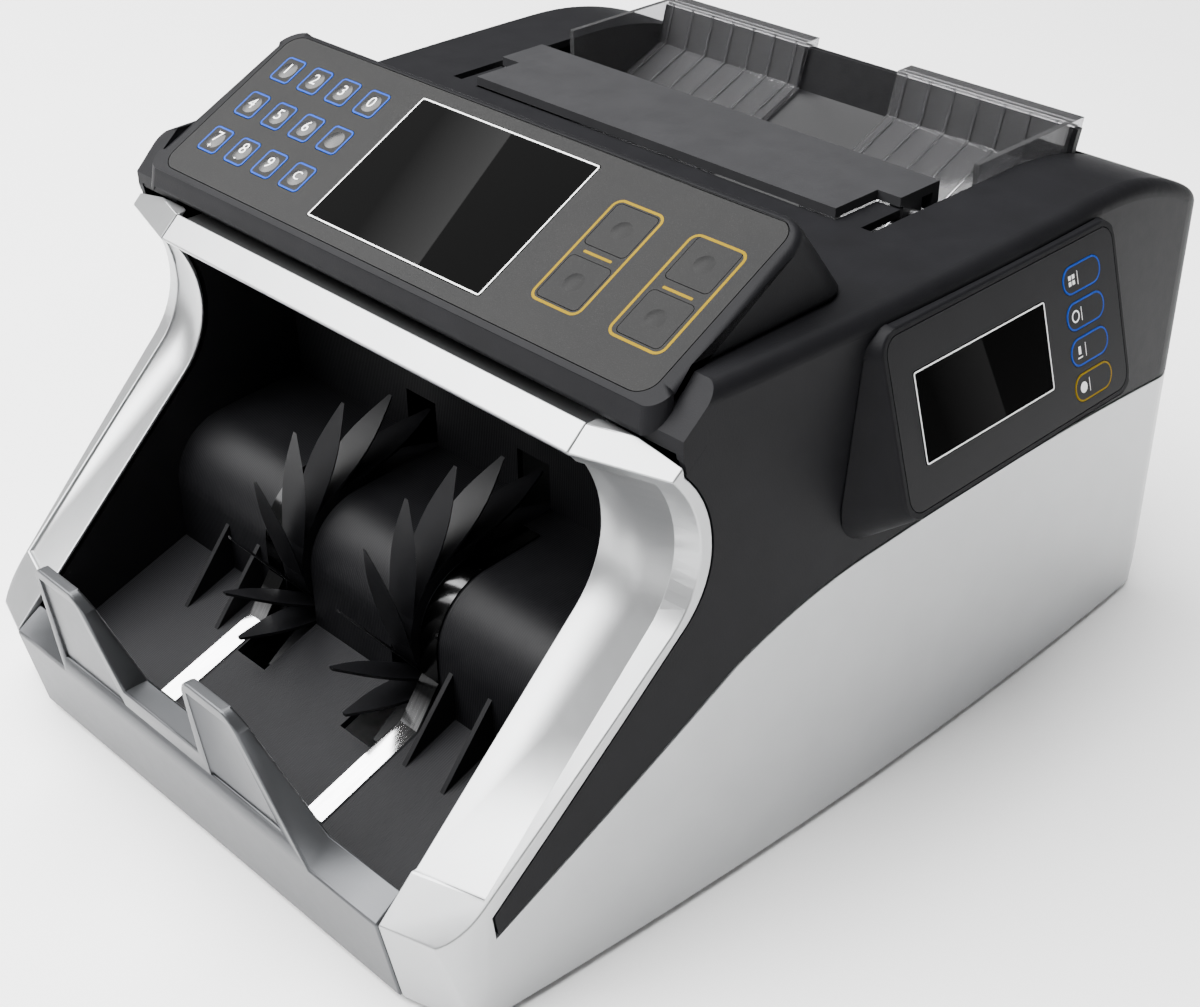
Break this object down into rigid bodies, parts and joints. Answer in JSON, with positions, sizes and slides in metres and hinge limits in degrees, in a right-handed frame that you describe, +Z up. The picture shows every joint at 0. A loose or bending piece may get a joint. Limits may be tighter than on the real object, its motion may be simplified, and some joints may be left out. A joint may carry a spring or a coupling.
{
  "type": "banknote counting machine",
  "caption": "Desktop banknote counter with a sloping keypad console and screen, note hopper, stacker pocket with finger wheels, and a side screen.",
  "frame": {"origin": "on the table, under the middle of the machine's bounding box", "axes": "+Z up, -Y towards the user at the front, +X to the user's right, the side with the side screen"},
  "size_m": [0.2692, 0.3416, 0.1933],
  "materials": {
    "silver": "satin silver paint on moulded plastic",
    "black_shell": "fine textured dark charcoal moulding",
    "inner_black": "dark moulding with a faint sheen",
    "sheet_steel": "coated sheet steel",
    "rubber": "matt black rubber",
    "bearing_steel": "turned steel",
    "polished_steel": "polished strip with fine scratches",
    "wheel_plastic": "dark grey flexible plastic with a sheen",
    "motor_paint": "black motor can",
    "screen": "glossy black display window",
    "film": "grey printed film",
    "board": "green board laminate",
    "clear_smoke": "smoky clear plastic with fine ribs",
    "inlet_black": "black moulded plastic",
    "key_film": "embossed film key"
  },
  "bodies": {
    "body": {"right_side_shell": "silver", "left_side_shell": "silver", "front_strip": "silver", "front_bumper": "silver", "upper_shell": "black_shell", "console_housing": "black_shell", "pod_housing": "black_shell", "stacker_floor": "inner_black", "stacker_liner": "inner_black", "hopper_plate": "inner_black", "sensor_bar": "inner_black", "base_plate": "sheet_steel", "frame_right": "sheet_steel", "frame_left": "sheet_steel", "rear_panel": "sheet_steel", "power_supply": "sheet_steel", "rubber_feet": "rubber", "drive_belt": "rubber", "bearings": "bearing_steel", "panel_screws": "bearing_steel", "guide_strips": "polished_steel", "drive_motor": "motor_paint", "main_display": "screen", "pod_display": "screen", "console_overlay": "film", "pod_overlay": "film", "main_board": "board", "power_inlet": "inlet_black", "data_port": "inlet_black"},
    "stacker": {"stacker_shaft": "bearing_steel", "stacker_wheels": "wheel_plastic"},
    "feed": {"feed_shaft": "bearing_steel", "feed_rollers": "rubber"},
    "pickup": {"pickup_roller": "bearing_steel"},
    "motor_spindle": {"motor_pulley": "bearing_steel"},
    "cover": {"top_cover": "black_shell", "cover_pins": "bearing_steel"},
    "guide_right": {"hopper_guide_right": "clear_smoke"},
    "guide_left": {"hopper_guide_left": "clear_smoke"},
    "rocker": {"power_rocker": "inlet_black"},
    "key_1_cap": {"key_1": "key_film"},
    "key_2_cap": {"key_2": "key_film"},
    "key_3_cap": {"key_3": "key_film"},
    "key_0_cap": {"key_0": "key_film"},
    "key_4_cap": {"key_4": "key_film"},
    "key_5_cap": {"key_5": "key_film"},
    "key_6_cap": {"key_6": "key_film"},
    "key_mode_cap": {"key_mode": "key_film"},
    "key_7_cap": {"key_7": "key_film"},
    "key_8_cap": {"key_8": "key_film"},
    "key_9_cap": {"key_9": "key_film"},
    "key_clear_cap": {"key_clear": "key_film"},
    "key_fn_1_cap": {"key_fn_1": "key_film"},
    "key_fn_2_cap": {"key_fn_2": "key_film"},
    "key_fn_3_cap": {"key_fn_3": "key_film"},
    "key_fn_4_cap": {"key_fn_4": "key_film"},
    "side_key_1_cap": {"side_key_1": "key_film"},
    "side_key_2_cap": {"side_key_2": "key_film"},
    "side_key_3_cap": {"side_key_3": "key_film"},
    "side_key_4_cap": {"side_key_4": "key_film"}
  },
  "joints": [
    {"name": "stacker_spin", "type": "hinge", "parent": "body", "child": "stacker", "pos_m": [-0.00856, -0.07482, 0.06], "axis": [1, 0, 0], "continuous": true},
    {"name": "feed_spin", "type": "hinge", "parent": "body", "child": "feed", "pos_m": [-0.00856, 0.01718, 0.118], "axis": [1, 0, 0], "continuous": true},
    {"name": "pickup_spin", "type": "hinge", "parent": "body", "child": "pickup", "pos_m": [-0.00856, 0.07518, 0.1206], "axis": [1, 0, 0], "continuous": true},
    {"name": "motor_spin", "type": "hinge", "parent": "body", "child": "motor_spindle", "pos_m": [-0.00856, 0.10918, 0.04], "axis": [1, 0, 0], "continuous": true},
    {"name": "cover_lift", "type": "hinge", "parent": "body", "child": "cover", "pos_m": [-0.00856, 0.05548, 0.1655], "axis": [-1, 0, 0], "range_deg": [0, 70]},
    {"name": "guide_right_slide", "type": "slide", "parent": "body", "child": "guide_right", "axis": [-1, 0, 0], "range_m": [0, 0.012]},
    {"name": "guide_left_slide", "type": "slide", "parent": "body", "child": "guide_left", "axis": [1, 0, 0], "range_m": [0, 0.012]},
    {"name": "power_switch", "type": "hinge", "parent": "body", "child": "rocker", "pos_m": [-0.03256, 0.15418, 0.03], "axis": [1, 0, 0], "range_deg": [0, 18]},
    {"name": "key_1_press", "type": "slide", "parent": "body", "child": "key_1_cap", "axis": [0, 0.454, -0.891], "range_m": [0, 0.00045], "stiffness_N_per_m": 300},
    {"name": "key_2_press", "type": "slide", "parent": "body", "child": "key_2_cap", "axis": [0, 0.454, -0.891], "range_m": [0, 0.00045], "stiffness_N_per_m": 300},
    {"name": "key_3_press", "type": "slide", "parent": "body", "child": "key_3_cap", "axis": [0, 0.454, -0.891], "range_m": [0, 0.00045], "stiffness_N_per_m": 300},
    {"name": "key_0_press", "type": "slide", "parent": "body", "child": "key_0_cap", "axis": [0, 0.454, -0.891], "range_m": [0, 0.00045], "stiffness_N_per_m": 300},
    {"name": "key_4_press", "type": "slide", "parent": "body", "child": "key_4_cap", "axis": [0, 0.454, -0.891], "range_m": [0, 0.00045], "stiffness_N_per_m": 300},
    {"name": "key_5_press", "type": "slide", "parent": "body", "child": "key_5_cap", "axis": [0, 0.454, -0.891], "range_m": [0, 0.00045], "stiffness_N_per_m": 300},
    {"name": "key_6_press", "type": "slide", "parent": "body", "child": "key_6_cap", "axis": [0, 0.454, -0.891], "range_m": [0, 0.00045], "stiffness_N_per_m": 300},
    {"name": "key_mode_press", "type": "slide", "parent": "body", "child": "key_mode_cap", "axis": [0, 0.454, -0.891], "range_m": [0, 0.00045], "stiffness_N_per_m": 300},
    {"name": "key_7_press", "type": "slide", "parent": "body", "child": "key_7_cap", "axis": [0, 0.454, -0.891], "range_m": [0, 0.00045], "stiffness_N_per_m": 300},
    {"name": "key_8_press", "type": "slide", "parent": "body", "child": "key_8_cap", "axis": [0, 0.454, -0.891], "range_m": [0, 0.00045], "stiffness_N_per_m": 300},
    {"name": "key_9_press", "type": "slide", "parent": "body", "child": "key_9_cap", "axis": [0, 0.454, -0.891], "range_m": [0, 0.00045], "stiffness_N_per_m": 300},
    {"name": "key_clear_press", "type": "slide", "parent": "body", "child": "key_clear_cap", "axis": [0, 0.454, -0.891], "range_m": [0, 0.00045], "stiffness_N_per_m": 300},
    {"name": "key_fn_1_press", "type": "slide", "parent": "body", "child": "key_fn_1_cap", "axis": [0, 0.454, -0.891], "range_m": [0, 0.00045], "stiffness_N_per_m": 300},
    {"name": "key_fn_2_press", "type": "slide", "parent": "body", "child": "key_fn_2_cap", "axis": [0, 0.454, -0.891], "range_m": [0, 0.00045], "stiffness_N_per_m": 300},
    {"name": "key_fn_3_press", "type": "slide", "parent": "body", "child": "key_fn_3_cap", "axis": [0, 0.454, -0.891], "range_m": [0, 0.00045], "stiffness_N_per_m": 300},
    {"name": "key_fn_4_press", "type": "slide", "parent": "body", "child": "key_fn_4_cap", "axis": [0, 0.454, -0.891], "range_m": [0, 0.00045], "stiffness_N_per_m": 300},
    {"name": "side_key_1_press", "type": "slide", "parent": "body", "child": "side_key_1_cap", "axis": [-0.9613, 0, -0.2756], "range_m": [0, 0.00045], "stiffness_N_per_m": 300},
    {"name": "side_key_2_press", "type": "slide", "parent": "body", "child": "side_key_2_cap", "axis": [-0.9613, 0, -0.2756], "range_m": [0, 0.00045], "stiffness_N_per_m": 300},
    {"name": "side_key_3_press", "type": "slide", "parent": "body", "child": "side_key_3_cap", "axis": [-0.9613, 0, -0.2756], "range_m": [0, 0.00045], "stiffness_N_per_m": 300},
    {"name": "side_key_4_press", "type": "slide", "parent": "body", "child": "side_key_4_cap", "axis": [-0.9613, 0, -0.2756], "range_m": [0, 0.00045], "stiffness_N_per_m": 300}
  ],
  "couplings": [
    {"joint": "feed_spin", "follows": "stacker_spin", "ratio": 1.2},
    {"joint": "pickup_spin", "follows": "stacker_spin", "ratio": 1.5},
    {"joint": "motor_spin", "follows": "stacker_spin", "ratio": 2}
  ]
}
